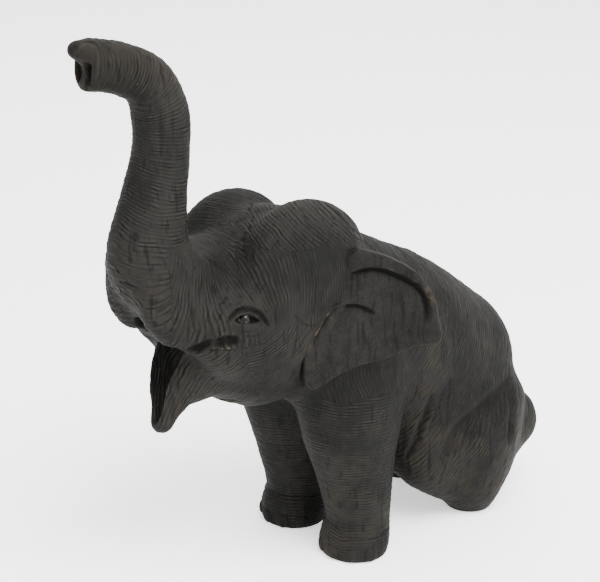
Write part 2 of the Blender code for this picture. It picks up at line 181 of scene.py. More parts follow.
class Clay:
    # builds up a field over a set of points, form by form, and keeps the distance to named groups
    def __init__(self, points):
        self.points = points.astype(np.float32)
        self.field = np.full(len(points), 300.0, np.float32)
        self.groups = {name: np.full(len(points), 99.0, np.float32) for name in clayGroups}

    def shape(self, centre, reach, blend, form, group=None, cut=False):
        gap = np.abs(self.points - np.array(centre, np.float32)) - np.array(reach, np.float32)
        near = np.all(gap < blend + 10, axis=1)
        if not near.any():
            return
        value = form(self.points[near]).astype(np.float32)
        work = cutClay if cut else joinClay
        self.field[near] = work(self.field[near], value, blend)
        if group and self.groups is not None:
            self.groups[group][near] = np.minimum(self.groups[group][near], value)

    def ball(self, centre, radii, blend, lean=0.0, group=None, cut=False):
        self.shape(centre, [max(radii)] * 3, blend, lambda q: ellipsoid(q, centre, radii, lean), group, cut)

    def roll(self, stations, blend, across=(1, 0, 0), steps=5, endRound=1.0, group=None, cut=False):
        rows = np.array(stations, float)
        low, high = rows[:, :3].min(axis=0), rows[:, :3].max(axis=0)
        reach = (high - low) / 2 + rows[:, 3:].max()
        self.shape(
            (low + high) / 2, reach, blend, lambda q: limb(q, stations, across, steps, endRound), group, cut,
        )

    def thread(self, corners, radius, blend, cut=True):
        # a round groove or a round bead along a curve, thinning out at both ends
        corners = curveThrough(corners, 5)
        length = np.linalg.norm(np.diff(corners, axis=0), axis=1).sum()
        low, high = corners.min(axis=0), corners.max(axis=0)

        def form(q):
            far, along = toCurve(q, corners)
            ends = np.minimum(along, length - along) / (0.3 * length)
            return far - radius * np.sqrt(np.clip(ends, 0.02, 1))

        self.shape((low + high) / 2, (high - low) / 2 + radius, blend, form, None, cut)


trunkForm = {
    "stations": [
        (0, -82, 160, 26.5, 29.5), (0, -106, 171, 22.5, 22.5), (0, -116, 187, 19.5, 21),
        (0, -112, 213.7, 15, 16.7), (0, -107.3, 235.5, 13, 14.5), (0, -107, 255, 12.5, 14.3),
        (0, -114.5, 271.3, 11.8, 12.6), (0, -131.5, 280, 10.6, 12.1), (0, -146, 283, 9.4, 11.9),
    ],
    "finger": ((0, -146.5, 289.4), (7.8, 8.6, 5.4)),
    "dish": ((0, -165.5, 280), (12, 17.5, 11)),  # hollows the trunk's end
    "nostril": ((3.9, -150, 281.5), (2.5, 9, 6.6)),
}
torsoForm = {
    "back": [(0, -14, 135, 42, 41), (0, 34.3, 112.4, 45, 45.5), (0, 77, 77, 45, 49.5)],
    "belly": ((0, 63, 62), (42, 45, 44)),
    "shoulder": ((24, -6.5, 92), (25, 28, 46)),
    "flank": ((27, 55, 45), (17, 26, 24)),
}
forelegForm = {
    "stations": [
        (25.5, -9.5, 92, 25, 28), (25.5, -5.5, 62, 21, 24.5), (25.5, -3, 37.2, 18.5, 20),
        (25.5, -1.5, 18.6, 17, 17.8), (25.5, -3.8, 7.5, 19.2, 18.8), (25.5, -5, 0, 17.6, 16.6),
        (25.5, -5, -10, 14, 13),
    ],
}
hindLegForm = {
    "haunch": [
        (28, 81, 60, 24.5, 36.5), (31, 81, 40, 22.5, 28.5), (30, 81, 22, 19.5, 20.5),
        (28, 82, 7, 14.5, 14.5),
    ],
    "knee": [(27, 71, 19.5, 14, 14), (28, 58, 25.5, 13, 13), (28, 46, 34.5, 12, 12)],
    "foot": [(30, 82, 17, 15, 15), (28, 95, 29, 16, 16), (25, 106, 37.5, 17.5, 18), (24, 114, 43, 18.5, 19)],
    "soleY": 131.0,  # the flat soles of the hind feet
}
headForm = {
    "skull": ((0, -50, 150), (41, 45, 42)),
    "neck": [(0, -2, 132, 40, 40), (0, -22, 136, 42, 44), (0, -44, 138, 40, 43)],
    "domes": {1: ((25.5, -41.5, 170.5), (23.5, 37, 34.5)), -1: ((-25.5, -46, 167.5), (23.5, 34, 32.5))},
    "crown": ((0, -45, 171), (20, 30, 26)),  # fills the cleft between the domes
    "cheek": ((25, -74, 146), (19.5, 33, 25)),
    "sheath": [
        (12, -107.5, 180, 12, 22), (14, -108.5, 165, 11, 22), (17, -105, 152, 10, 16), (18, -106, 146, 7, 9),
    ],
}
jawForm = {
    "stations": [
        (0, -62, 122, 36, 26), (0, -82, 126, 28, 20), (0, -99, 120, 14.5, 17), (0, -107, 107, 8.8, 8.6),
        (0, -111.3, 97.5, 6, 5.5),
    ],
    "mouth": [
        (0, -109, 147, 11, 17), (0, -111, 136, 10.6, 17), (0, -112, 122, 7.6, 14.5),
        (0, -115, 110, 5, 10.5), (0, -117.5, 101, 2.6, 7),
    ],
}


def mirrored(row, side):
    return (row[0] * side, *row[1:])


def roughFigure(points):
    clay = Clay(points)
    clay.roll(torsoForm["back"], 1, group="body")
    clay.ball(*torsoForm["belly"], 14, group="body")
    for side in (1, -1):
        clay.ball(mirrored(torsoForm["shoulder"][0], side), torsoForm["shoulder"][1], 14, group="shoulder")
        clay.ball(mirrored(torsoForm["flank"][0], side), torsoForm["flank"][1], 12, group="body")
        clay.roll([mirrored(row, side) for row in forelegForm["stations"]], 8, group="foreleg")
        clay.roll([mirrored(row, side) for row in hindLegForm["haunch"]], 8, group="haunch")
        clay.roll([mirrored(row, side) for row in hindLegForm["knee"]], 8, group="haunch")
        clay.roll([mirrored(row, side) for row in hindLegForm["foot"]], 6, group="hindFoot")
    clay.roll(headForm["neck"], 12, group="neck")
    clay.ball(*headForm["skull"], 10, group="skull")
    for side in (1, -1):
        clay.ball(*headForm["domes"][side], 7, group="dome")
        clay.ball(mirrored(headForm["cheek"][0], side), headForm["cheek"][1], 9, group="cheek")
    clay.roll(trunkForm["stations"], 9, steps=7, endRound=0.3, group="trunk")
    for side in (1, -1):
        clay.roll([mirrored(row, side) for row in headForm["sheath"]], 7, endRound=0.8, group="sheath")
    clay.ball(*headForm["crown"], 8, group="dome")
    clay.roll(jawForm["stations"], 8, group="jaw")
    clay.roll(jawForm["mouth"], 1.2, cut=True)
    return clay


def onSkin(point):
    # moves a point on to the rough figure's skin, and gives the outward direction there
    p = np.array(point, float)
    for _ in range(4):
        around = np.array([p, *(p + 0.4 * np.eye(3)), *(p - 0.4 * np.eye(3))])
        values = roughFigure(around).field
        out = (values[1:4] - values[4:7]) / 0.8
        p = p - out * values[0] / max(out @ out, 0.1)
    return p, out / np.linalg.norm(out)


def onSkinRow(rows, depth=0.0):
    placed = [onSkin(row) for row in rows]
    return np.array([p - out * depth for p, out in placed])


eyeForm = {
    "pupil": (40, -88, 159),
    "ballRadius": 3.1,
    "ballSunk": 0.35,  # mm from the lids' level back to the front of the eyeball
    "openingRadius": 2.9,
    "foldRadius": 1.55,
    "upperLidRadius": 1.05,
    "lowerLidRadius": 0.9,
    "bagRadius": 0.75,
    "opening": [
        (37.6, -93.5, 158.2), (39, -90.5, 159), (40, -88, 159.2), (41.2, -85, 158.6), (42.6, -81.2, 156.6),
    ],
    "fold": [
        (35, -97, 156.5), (36, -94, 160.5), (37, -89, 163), (39, -85, 162.5), (41, -81, 160),
        (43, -78.5, 156), (44, -77, 152.5),
    ],
    "upperLid": [
        (37, -94.5, 158.4), (37.8, -91.5, 160.9), (39, -88, 162), (40.5, -84.5, 160.8), (43, -80.8, 157),
    ],
    "lowerLid": [
        (37, -94.5, 158), (39.5, -91.5, 156), (41, -88, 155.6), (42, -84.5, 155.2), (43, -81, 155.8),
    ],
    "bags": [
        [(37.5, -95, 155.5), (40, -92, 153.4), (42, -88, 152.4), (43, -83, 152.6)],
        [(38, -94.5, 153), (40.5, -91, 151), (42.5, -86.5, 150), (44, -81, 150.5)],
    ],
}
foldForm = {
    "lip": ([(22, -112, 141.5), (26, -108.5, 144), (31, -104, 147.5), (35, -100.5, 149)], 2.3, 0.8),
    "lipCorner": ([(33, -105, 146.5), (36, -101, 148.2), (38.5, -97, 149), (41, -92.5, 148.8)], 3.0, 0.9),
    "cheek": (
        [
            (46, -41, 150), (45, -43, 147), (43, -46, 141), (42, -49, 134), (39, -50, 126), (35, -48, 116),
            (31, -44, 108),
        ],
        1.6, 2.0,
    ),
    "thigh": (
        [(46, 92, 78), (49, 84, 73), (51, 76, 69), (51, 67, 65), (49, 59, 60), (46, 52, 53), (42, 46, 45)],
        6.5, 6.0,
    ),
    "armpit": ([(41, 37, 84), (40, 35, 72), (38, 32, 63), (36, 29, 54), (33, 26, 46)], 1.8, 2.5),
    "armpitBehind": ([(44, 44, 88), (43, 42, 78), (41, 39, 68), (39, 35, 59)], 0.6, 1.2),
    "elbow": ([(45, 26, 92), (44, 27, 82), (42, 25, 72)], 0.6, 1.0),
    "neckOne": ([(40, -17, 188), (40, -13, 184), (43, -10, 176), (45, -8, 168)], 0.9, 1.4),
    "neckTwo": ([(14, 3, 176), (22, 4, 174), (30, 6, 170), (38, 8, 162)], 0.9, 1.2),
    "neckThree": ([(12, 9, 173), (20, 11, 170), (29, 14, 165), (38, 16, 156)], 0.7, 1.0),
    "rootOne": ([(20, -96, 189), (24, -92, 186), (29, -86, 181)], 0.8, 1.0),
    "rootTwo": ([(17, -92, 191), (22, -87, 188), (28, -80, 184)], 0.6, 0.8),
    "trunkFront": ([(3, -140, 180), (9, -138, 178), (16, -131, 176)], 0.6, 0.8),
    "trunkFrontLow": ([(4, -136, 172), (9, -135, 170), (14, -130, 167)], 0.5, 0.8),
    "chinOne": ([(22, -78, 104), (14, -82, 103), (6, -84, 103)], 0.8, 1.0),
    "conch": (
        [(47, -32.5, 154), (46.5, -36.5, 153.6), (46, -39.5, 151.5), (45, -42, 147.5), (44, -44.5, 142)],
        2.5, 1.0,
    ),
    "footEdge": ([(46, 95, 79), (49, 92.5, 70), (51.5, 91, 62), (53, 89, 53), (53, 87, 45)], 2.4, 3.0),
    "ankle": ([(34, -20, 15), (41, -14, 14), (45, -3, 14), (42, 9, 15)], 0.6, 1.2),
}
pitForm = {"from": (-12, -43, 196), "to": (25, -72, 182), "count": 21, "radius": 1.25}


def detailRows():
    # every fold and crease with its points dropped on to the skin, worked out once;
    # each row is where it lies, its radius, its blend and its kind
    rows, eyeballs = [], []

    def trace(corners, side, radius, blend, kind="groove", sunk=0.0):
        rows.append((onSkinRow([mirrored(row, side) for row in corners], sunk), radius, blend, kind))

    for corners, radius, blend in foldForm.values():
        for side in (1, -1):
            trace(corners, side, radius, blend)
    for side in (1, -1):
        pupil, out = onSkin(mirrored(eyeForm["pupil"], side))
        ball = pupil - out * (eyeForm["ballRadius"] + eyeForm["ballSunk"])
        trace(eyeForm["opening"], side, eyeForm["openingRadius"], 0.5)
        rows.append((ball, eyeForm["ballRadius"], 0.3, "ball"))
        eyeballs.append(ball)
        trace(eyeForm["upperLid"], side, eyeForm["upperLidRadius"], 0.5, "bead", 0.3)
        trace(eyeForm["lowerLid"], side, eyeForm["lowerLidRadius"], 0.5, "bead", 0.5)
        trace(eyeForm["fold"], side, eyeForm["foldRadius"], 0.6, "groove", 0.2)
        for bag in eyeForm["bags"]:
            trace(bag, side, eyeForm["bagRadius"], 0.8)
    random = np.random.default_rng(carving["seed"])
    for share in np.linspace(0, 1, pitForm["count"]):
        place = np.array(pitForm["from"]) * (1 - share) + np.array(pitForm["to"]) * share
        place, out = onSkin(place + random.normal(0, 0.5, 3))
        rows.append((place + out * 0.3, pitForm["radius"] * random.uniform(0.6, 1.1), 0.5, "hollow"))
    return rows, eyeballs


def figureField(points, rows):
    clay = roughFigure(points)
    clay.groups = None
    clay.ball(*trunkForm["dish"], 1.2, cut=True)
    for side in (1, -1):
        clay.ball(mirrored(trunkForm["nostril"][0], side), trunkForm["nostril"][1], 0.8, cut=True)
    clay.ball(*trunkForm["finger"], 2.5, -8)
    for where, size, blend, kind in rows:
        if kind in ("ball", "hollow"):
            clay.ball(where, (size, size, size), blend, cut=kind == "hollow")
        else:
            clay.thread(where, size, blend, cut=kind == "groove")
    field = cutClay(clay.field, hindLegForm["soleY"] - clay.points[:, 1], 3)
    return np.maximum(field, -clay.points[:, 2])


def fillField(low, high, voxel, field):
    # evaluates the field coarsely everywhere, and finely only where the skin passes
    step = 5
    coarse = voxel * step
    counts = np.ceil((np.array(high) - low) / coarse).astype(int)
    axes = [low[k] + (np.arange(counts[k]) + 0.5) * coarse for k in range(3)]
    middles = np.stack(np.meshgrid(*axes, indexing="ij"), axis=-1).reshape(-1, 3)
    rough = field(middles).reshape(counts)
    reach = coarse * 0.95 + carving["skinBand"]
    dense = rough
    for axis in range(3):
        dense = np.repeat(dense, step, axis=axis)
    dense = np.clip(dense, -3, 3).astype(np.float32)
    nearCells = np.argwhere(np.abs(rough) < reach)
    inside = np.stack(np.meshgrid(*[np.arange(step)] * 3, indexing="ij"), axis=-1).reshape(-1, 3)
    for start in range(0, len(nearCells), 6000):
        index = (nearCells[start:start + 6000, None, :] * step + inside[None]).reshape(-1, 3)
        places = np.array(low) + (index + 0.5) * voxel
        dense[index[:, 0], index[:, 1], index[:, 2]] = np.clip(field(places), -3, 3)
    return dense


def skinOf(low, high, voxel, field):
    dense = fillField(np.array(low, float), high, voxel, field)
    grid = openvdb.FloatGrid(3.0)
    grid.copyFromArray(dense)
    points, quads = grid.convertToQuads()
    points = np.array(low) + (np.array(points, float) + 0.5) * voxel
    quads = np.array(quads, int)
    a, b, c, d = (points[quads[:, k]] for k in range(4))
    if np.einsum("ij,ij->i", a, np.cross(b, c)).sum() + np.einsum("ij,ij->i", a, np.cross(c, d)).sum() < 0:
        quads = quads[:, ::-1]
    return points, quads, dense


def skinNormals(points, quads):
    across = np.cross(points[quads[:, 2]] - points[quads[:, 0]], points[quads[:, 3]] - points[quads[:, 1]])
    total = np.zeros_like(points)
    for k in range(4):
        np.add.at(total, quads[:, k], across)
    return total / (np.linalg.norm(total, axis=1)[:, None] + 1e-12)


def meshPiece(name, points, faces):
    name = "carved_" + name
    mesh = bpy.data.meshes.new(name)
    mesh.from_pydata(((points * 0.001) + np.array(clayToFrame)).tolist(), [], faces.tolist())
    piece = bpy.data.objects.new(name, mesh)
    bpy.context.scene.collection.objects.link(piece)
    return piece


flowForm = {
    "jawRim": [
        (0, -114, 90), (0, -109, 108), (0, -103, 128), (0, -92, 143), (0, -80, 144), (0, -70, 149),
        (0, -61, 160),
    ],
    "faceFan": (-94, 236),  # Y and Z that the face's grooves spread from
    "bodyAxis": (0.823, -0.568),
}


def grooveFlow(points, clay):
    # for each point: how many grooves it lies from the first, and how deep they are cut there
    x, y, z = points.T
    x = np.abs(x)
    distances = clay.groups
    nearest = np.min(list(distances.values()), axis=0)
    near = {name: np.exp(-(value - nearest) / 2.5) for name, value in distances.items()}
    most = lambda *names: np.max([near[name] for name in names], axis=0)
    back, up = flowForm["bodyAxis"]
    _, trunkRun = toCurve(points, curveThrough(np.array(trunkForm["stations"])[:, :3], 7))
    rim, _ = toCurve(points * [0, 1, 1], np.array(flowForm["jawRim"], float))
    fanY, fanZ = flowForm["faceFan"]
    fan = np.arctan2(y - fanY, fanZ - z) * 58
    side = most("skull", "cheek", "dome")
    wobble = 6 * drift(points, 14, 12)
    regions = {
        "trunk": (near["trunk"] * ramp(z, 140, 152), trunkRun + 0.25 * x, 1.0, 0.9),
        "sheath": (near["sheath"] * ramp(-y, 116, 122), trunkRun + 0.35 * x, 1.1, 0.8),
        "face": (
            1.15 * most("trunk", "sheath", "skull", "cheek") * ramp(y, -124, -116) * ramp(-y, 76, 84)
            * ramp(z, 141, 147) * ramp(200 - z, 0, 8),
            fan, 0.95, 0.85,
        ),
        "cheek": (
            1.1 * most("cheek", "jaw", "skull", "neck")
            * ramp(153 - z + wobble + 0.25 * (y + 90), 0, 5) * ramp(-y, 24, 34),
            rim, 1.0, 1.0,
        ),
        "temple": (
            side * ramp(y, -87, -80) * ramp(192 + wobble - z, 0, 8) * ramp(z - wobble, 146, 152),
            y + 0.10 * z, 0.95, 0.65,
        ),
        "dome": (
            1.1 * near["dome"] * ramp(z + 0.25 * (y + 40), 178, 187),
            0.62 * y + 0.70 * z + 0.32 * x, 1.0, 1.0,
        ),
        "body": (most("body", "neck"), back * y + up * z, 1.15, 0.8),
        "shoulder": (near["shoulder"] * ramp(z + wobble, 90, 104), y + 0.15 * z, 1.05, 0.5),
        "foreleg": (most("foreleg", "shoulder") * ramp(106 - z - wobble, 0, 14), z + 0.06 * y, 1.0, 0.85),
        "haunch": (most("haunch", "hindFoot"), back * y + up * z, 1.1, 0.7),
    }
    weights = np.array([row[0] for row in regions.values()])
    order = np.sort(weights, axis=0)
    chosen = weights.argmax(axis=0)
    turns = np.array([row[1] / (carving["groovePitch"] * row[2]) for row in regions.values()])
    phase = turns[chosen, np.arange(len(points))]
    phase = phase + 0.55 * drift(points, 11, 3) + 0.16 * drift(points, 3.6, 4)
    strength = np.array([row[3] for row in regions.values()])[chosen]
    strength = strength * ramp(order[-1] - order[-2], 0.05, 0.18)
    pupil = np.array(eyeForm["pupil"], float)
    farFromEye = np.linalg.norm((points - pupil) * [0, 1, 1], axis=1) + 40 * (x < 20)
    strength = strength * ramp(farFromEye, 6, 11) * ramp(z, 0.3, 2.0)
    stroke = np.floor(phase + 0.5)[:, None] * np.array([13.7, 7.1, 3.3])
    strength = strength * np.clip(0.62 + 0.9 * drift(points + stroke, 5.5, 5), 0.08, 1.2)
    return phase, strength


def cutGrooves(points, quads):
    clay = roughFigure(points)
    phase, strength = grooveFlow(points, clay)
    valley = 0.5 + 0.5 * np.cos(math.pi * phase)  # every second groove goes deeper
    lumps = (0.20 * drift(points, 7, 8) + 0.12 * drift(points, 2.8, 9)) * ramp(points[:, 2], 0.5, 3)
    depth = carving["grooveDepth"] * strength * (valley - 0.5) - lumps
    return points - skinNormals(points, quads) * depth[:, None]


def sawBlock(name, planes):
    # a big block trimmed by planes, each a point and an outward direction in clay millimetres
    bm = bmesh.new()
    bmesh.ops.create_cube(bm, size=1.6)
    for point, out in planes:
        cut = bmesh.ops.bisect_plane(
            bm, geom=bm.verts[:] + bm.edges[:] + bm.faces[:], dist=1e-7,
            plane_co=Vector(point) * 0.001 + clayToFrame, plane_no=Vector(out).normalized(), clear_outer=True,
        )
        bmesh.ops.edgeloop_fill(
            bm, edges=[part for part in cut["geom_cut"] if isinstance(part, bmesh.types.BMEdge)],
        )
    bmesh.ops.recalc_face_normals(bm, faces=bm.faces[:])
    mesh = bpy.data.meshes.new(name)
    bm.to_mesh(mesh)
    bm.free()
    block = bpy.data.objects.new(name, mesh)
    bpy.context.scene.collection.objects.link(block)
    return block


def combine(piece, tool, operation):
    modifier = piece.modifiers.new("saw", "BOOLEAN")
    modifier.operation = operation
    modifier.solver = "MANIFOLD"
    modifier.object = tool
    settle(piece)


def settle(piece):
    # replaces the piece's mesh by what its modifiers make of it
    bpy.context.view_layer.update()
    made = bpy.data.meshes.new_from_object(piece.evaluated_get(bpy.context.evaluated_depsgraph_get()))
    piece.modifiers.clear()
    old = piece.data
    piece.data = made
    made.name = piece.name
    bpy.data.meshes.remove(old)


def thinOut(piece):
    # brings a block with too many triangles down to the most that a piece may have
    piece.data.calc_loop_triangles()
    count = len(piece.data.loop_triangles)
    if count > carving["mostTriangles"]:
        modifier = piece.modifiers.new("thin", "DECIMATE")
        modifier.ratio = carving["mostTriangles"] / count
        settle(piece)


def throwAway(*pieces):
    for piece in pieces:
        mesh = piece.data
        bpy.data.objects.remove(piece)
        bpy.data.meshes.remove(mesh)


def copyOf(piece, name):
    copied = bpy.data.objects.new(name, piece.data.copy())
    bpy.context.scene.collection.objects.link(copied)
    return copied


glueFace = {
    "trunk": ((0, -116, 188), (0, 0.37, -0.93)),
    "lip": ((0, -110, 139.5), (0, -0.16, 0.987)),
    "jaw": ((0, -64, 112), (0, 1, 0)),
    "neck": ((0, -24, 137), (0, 0.87, -0.494)),
    "forelegTop": 62,
    "forelegBack": ((0, 16, 62), (0, 0.987, 0.159)),
    "haunchTop": 88,
    "haunchSide": 20,
    "haunchFront": 46,
    "footTop": 64,
    "footFront": 106,
}


def blocksOf():
    top = lambda height: ((0, 0, height), (0, 0, 1))
    blocks = {
        "trunk": sawBlock("trunkBlock", [glueFace["trunk"]]),
        "lower_jaw": sawBlock("jawBlock", [glueFace["jaw"], glueFace["lip"]]),
        "head": sawBlock("headBlock", [glueFace["neck"]]),
    }
    for word, side in (("left", 1), ("right", -1)):
        inner = ((side * 0.05, 0, 0), (-side, 0, 0))
        blocks[f"foreleg_{word}"] = sawBlock(
            "legBlock", [top(glueFace["forelegTop"]), glueFace["forelegBack"], inner],
        )
        haunch = sawBlock("haunchBlock", [
            top(glueFace["haunchTop"]), ((side * glueFace["haunchSide"], 0, 0), (-side, 0, 0)),
            ((0, glueFace["haunchFront"], 0), (0, -1, 0)),
        ])
        foot = sawBlock(
            "footBlock", [top(glueFace["footTop"]), inner, ((0, glueFace["footFront"], 0), (0, -1, 0))],
        )
        combine(haunch, foot, "UNION")
        throwAway(foot)
        blocks[f"hind_leg_{word}"] = haunch
    return blocks


def sawFigure(figure):
    blocks = blocksOf()
    pieces = {}
    for name, block in blocks.items():
        pieces[name] = copyOf(figure, "carved_" + name)
        combine(pieces[name], block, "INTERSECT")
    for other in ("trunk", "lower_jaw"):
        combine(pieces["head"], blocks[other], "DIFFERENCE")
    pieces["torso"] = figure
    figure.name = "carved_torso"
    for name, block in blocks.items():
        if name not in ("trunk", "lower_jaw"):
            combine(figure, block, "DIFFERENCE")
    throwAway(*blocks.values())
    return pieces


earForm = {
    "centre": (43, -38, 150),
    "flare": 22,
    "halfThickness": 2.8,
    "outline": [
        (14, 33), (29.6, 27.4), (44.4, 18), (53.3, 5.8), (57, -5.8), (59.2, -20.9),
        (45.1, -23), (29.6, -28), (11.8, -31), (-2.2, -36.7), (-10.4, -38.9), (-14.8, -30.2),
        (-14, -18), (-9.6, -7.9), (-5.9, 4.3), (-3.7, 15.8), (2.2, 25.9),
    ],
    "rimCrease": [
        (1, 11), (5, 16), (13, 20.5), (24, 21), (35, 16.5), (44, 11), (50, 3), (51.5, -11), (53, -17),
    ],
    "rimHeight": 2.5,
    "conch": [(-9, -12), (-4, -4), (0, 1), (6, 3.6), (13, 3.8), (20, 1), (27, -4)],
    "conchDepth": 3.5,
    "seat": 39,  # X of the flat that is glued to the head
}


def earField(points):
    a, b, c = points.T.astype(float)
    outline = curveThrough(earForm["outline"] + earForm["outline"][:1], 3)[:-1]
    edge = toOutline(a, b, outline)
    crease = curveThrough(earForm["rimCrease"], 4)
    flat = np.stack([a, b, a * 0], axis=1)
    far, run = toCurve(flat, np.column_stack([crease, np.zeros(len(crease))]))
    inner = toOutline(a, b, np.vstack([crease, [(53, -80), (-80, -80), (-80, 6)]]))
    fades = ramp(run, 2, 22) * ramp(-run, -78, -62)
    lip = ramp(inner, 0.0, 2.2) * ramp(14 - far, 0, 6) * fades
    height = earForm["halfThickness"] + earForm["rimHeight"] * lip - 1.7 * np.exp(-((far / 1.7) ** 2)) * fades
    height = (
        height - earForm["conchDepth"] * underConch(a, b, 9)
        + 0.7 * ramp(-conchDrop(a, b), 0, 7) * ramp(-inner, 0, 8)
    )
    height = height - 7 * ramp(13 - a, 0, 16) * ramp(b, 4, 12)  # sinks into the head in front
    leaf = np.maximum(c - height, -c - earForm["halfThickness"])
    field = cutClay(edge.astype(np.float32), -leaf.astype(np.float32), 2.6)
    x = (
        earForm["centre"][0] + np.sin(math.radians(earForm["flare"])) * a
        + np.cos(math.radians(earForm["flare"])) * (c + earCup(a, b))
    )
    return np.maximum(field, earForm["seat"] - x)


def conchDrop(a, b):
    arc = curveThrough(earForm["conch"], 4)
    return np.interp(a, arc[:, 0], arc[:, 1]) - b


def underConch(a, b, spread):
    drop = conchDrop(a, b)
    return (
        ramp(drop, -0.5, 1.1) * np.exp(-np.clip(drop, 0, None) / spread) * ramp(a, -12, -5)
        * ramp(27 - a, 0, 9)
    )


def earCup(a, b):
    return 0.0022 * (a - 20) ** 2 + 0.001 * b**2 - 2.2


def makeEar(name, side):
    voxel = carving["voxel"] * 0.75
    low = (-19, -43, -6)
    points, quads, dense = skinOf(low, (63, 38, 9), voxel, earField)
    a, b, c = points.T
    # the swell is lowered under the conch arc, so that the finish paints a shadow beneath the arc
    swell = swellOf(points, low, voxel, dense) - 0.3 * underConch(a, b, 3.5) * (c > -1.5)
    flare = math.radians(earForm["flare"])
    c = c + earCup(a, b) + 0.10 * drift(points, 6, 21) + 0.05 * drift(points, 2.2, 22)
    x, y, z = earForm["centre"]
    placed = np.stack([
        side * (x + math.sin(flare) * a + math.cos(flare) * c),
        y + math.cos(flare) * a - math.sin(flare) * c,
        z + b,
    ], axis=1)
    ear = meshPiece(name, placed, quads if side > 0 else quads[:, ::-1])
    attach(ear, "swell", swell)
    return ear


tailForm = {
    "stations": [
        (0, 105, 94, 3, 3), (0, 117, 92, 4.2, 4.2), (0, 124, 84.2, 4.2, 4.2),
        (0, 126.5, 68.5, 3.4, 3.4), (0, 126, 52.8, 4.0, 4.0), (0, 124, 40.5, 2.2, 2.2),
    ],
    "tuftTop": 57,
    "low": (-7, 98, 34),
    "high": (7, 134, 100),
    "voxel": 0.6,
}


def tailField(points):
    field = limb(points, tailForm["stations"], steps=5, endRound=1.0)
    turn = np.arctan2(points[:, 0], points[:, 1] - 126)
    return field + 0.28 * (1 + np.cos(9 * turn)) * ramp(tailForm["tuftTop"] - points[:, 2], 0, 8)


nailForm = {
    "count": 5,
    "sweep": 2.45,
    "nail": (0.0042, 0.0017, 0.0040),
    "foot": {"centre": (25.5, -4.2, 4.4), "width": 18.5, "depth": 18.0, "heading": 0.12},
}


class NodeBench:
    # adds nodes to a tree: their settings first, then the values or links of their sockets
    def __init__(self, tree):
        self.tree = tree

    def make(self, kind, settings=None, sockets=None, out=0):
        node = self.tree.nodes.new(kind)
        for key, value in (settings or {}).items():
            setattr(node, key, value)
        for key, value in (sockets or {}).items():
            if isinstance(value, Wire):
                self.tree.links.new(value.socket, node.inputs[key])
            else:
                node.inputs[key].default_value = value
        return Wire(self, node.outputs[out] if node.outputs else None, node)

    def maths(self, operation, *values):
        return self.make("ShaderNodeMath", {"operation": operation}, dict(enumerate(values)))


class Wire:
    # a socket that takes part in Python sums
    def __init__(self, bench, socket, node=None):
        self.bench, self.socket, self.node = bench, socket, node

    def __add__(self, other):
        return self.bench.maths("ADD", self, other)

    def __sub__(self, other):
        return self.bench.maths("SUBTRACT", self, other)

    def __rsub__(self, other):
        return self.bench.maths("SUBTRACT", other, self)

    def __mul__(self, other):
        return self.bench.maths("MULTIPLY", self, other)

    def __truediv__(self, other):
        return self.bench.maths("DIVIDE", self, other)

    __radd__ = __add__


def nailTree():
    tree = bpy.data.node_groups.new("toenails", "GeometryNodeTree")
    sizes = {
        "Count": "NodeSocketInt", "Width": "NodeSocketFloat", "Depth": "NodeSocketFloat",
        "Sweep": "NodeSocketFloat", "Heading": "NodeSocketFloat", "Nail": "NodeSocketVector",
        "Centre": "NodeSocketVector", "Seed": "NodeSocketInt", "Finish": "NodeSocketMaterial",
    }
    for name, kind in sizes.items():
        tree.interface.new_socket(name, in_out="INPUT", socket_type=kind)
    tree.interface.new_socket("Geometry", in_out="OUTPUT", socket_type="NodeSocketGeometry")
    bench = NodeBench(tree)
    given = bench.make("NodeGroupInput").node
    size = {name: Wire(bench, given.outputs[name]) for name in sizes}
    index = bench.make("GeometryNodeInputIndex")
    turn = (index / (size["Count"] - 1) - 0.5) * size["Sweep"] + size["Heading"]
    place = bench.make("ShaderNodeCombineXYZ", None, {
        0: bench.maths("SINE", turn) * size["Width"],
        1: bench.maths("COSINE", turn) * size["Depth"] * -1,
        2: 0.0,
    })
    line = bench.make("GeometryNodeMeshLine", {"mode": "OFFSET"}, {"Count": size["Count"]})
    ring = bench.make("GeometryNodeSetPosition", None, {"Geometry": line, "Position": place})
    ball = bench.make("GeometryNodeMeshUVSphere", None, {"Segments": 20, "Rings": 12, "Radius": 1.0})
    uneven = bench.make(
        "FunctionNodeRandomValue", {"data_type": "FLOAT_VECTOR"},
        {0: (0.9, 0.9, 0.88), 1: (1.08, 1.05, 1.08), "Seed": size["Seed"]},
    )
    scale = bench.make("ShaderNodeVectorMath", {"operation": "MULTIPLY"}, {0: size["Nail"], 1: uneven})
    spin = bench.make("ShaderNodeCombineXYZ", None, {0: 0.0, 1: 0.0, 2: turn})
    nails = bench.make(
        "GeometryNodeInstanceOnPoints", None,
        {"Points": ring, "Instance": ball, "Rotation": spin, "Scale": scale},
    )
    stood = bench.make("GeometryNodeTransform", None, {"Geometry": nails, "Translation": size["Centre"]})
    whole = bench.make("GeometryNodeRealizeInstances", None, {"Geometry": stood})
    dressed = bench.make("GeometryNodeSetMaterial", None, {"Geometry": whole, "Material": size["Finish"]})
    bench.make("NodeGroupOutput", None, {"Geometry": dressed})
    return tree


